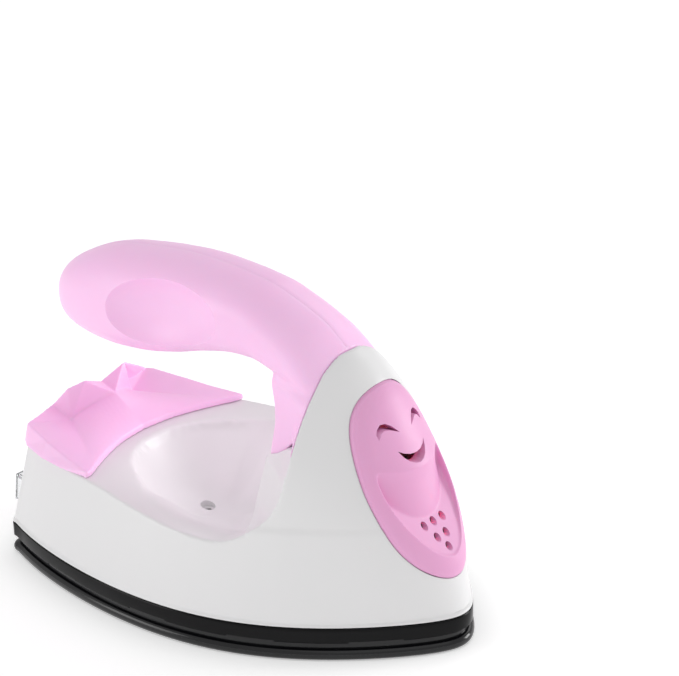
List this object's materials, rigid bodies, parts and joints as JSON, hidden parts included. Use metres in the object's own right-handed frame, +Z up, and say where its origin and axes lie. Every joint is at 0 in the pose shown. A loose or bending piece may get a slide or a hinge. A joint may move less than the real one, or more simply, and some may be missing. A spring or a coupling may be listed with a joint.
{
  "type": "mini craft iron",
  "caption": "Palm-sized craft iron: flat black sole, white shell with a dish, pink arched handle, oval nose panel with eye, mouth and vent slots, and a faceted heel cover.",
  "frame": {"origin": "middle of the sole's lower face, half way along the sole", "axes": "-Y towards the nose, +Y towards the heel, +Z up from the sole"},
  "size_m": [0.0658, 0.1087, 0.0694],
  "materials": {
    "coated_black": "satin non-stick coating",
    "gloss_black": "glossy moulded plastic",
    "shell_white": "satin moulded plastic",
    "handle_pink": "satin moulded plastic",
    "panel_pink": "satin moulded plastic",
    "clear": "clear soft plastic",
    "steel": "zinc plated",
    "brass": "plain",
    "mica": "pressed mica flakes",
    "aluminium": "pressed sheet",
    "bimetal": "plain strip",
    "ceramic": "unglazed",
    "phenolic": "moulded",
    "board_green": "solder mask",
    "lamp_red": "clear tinted",
    "wire_red": "insulation",
    "wire_blue": "insulation"
  },
  "bodies": {
    "iron": {"bimetal_disc": "bimetal", "board_screw_left": "steel", "board_screw_right": "steel", "body_shell": "shell_white", "clamp_screw_front": "steel", "clamp_screw_rear": "steel", "contact_arm": "brass", "dish_screw": "steel", "element_clamp": "aluminium", "fuse_clip": "steel", "handle_left": "handle_pink", "handle_right": "handle_pink", "handle_screw_front": "steel", "handle_screw_rear": "steel", "heating_element": "steel", "heel_cover": "handle_pink", "heel_foot_left": "clear", "heel_foot_right": "clear", "heel_screw_left": "steel", "heel_screw_right": "steel", "inlet_block": "phenolic", "inlet_pin_left": "brass", "inlet_pin_right": "brass", "lamp": "lamp_red", "lamp_wire_left": "wire_red", "lamp_wire_right": "wire_blue", "light_board": "board_green", "mica_sheet": "mica", "nose_panel": "panel_pink", "sole_skirt": "gloss_black", "soleplate": "coated_black", "stem_screw_left": "steel", "stem_screw_right": "steel", "thermal_fuse": "steel", "thermostat_body": "phenolic", "thermostat_cup": "aluminium", "thermostat_screw_left": "steel", "thermostat_screw_right": "steel", "thermostat_terminal_left": "brass", "thermostat_terminal_right": "brass", "wire_fuse": "wire_red", "wire_heater": "wire_red", "wire_live": "wire_red", "wire_neutral": "wire_blue"},
    "pin": {"thermostat_pin": "ceramic"}
  },
  "joints": [
    {"name": "thermostat_pin_slide", "type": "slide", "parent": "iron", "child": "pin", "axis": [0, 0, 1], "range_m": [0, 0.0004], "stiffness_N_per_m": 50}
  ]
}
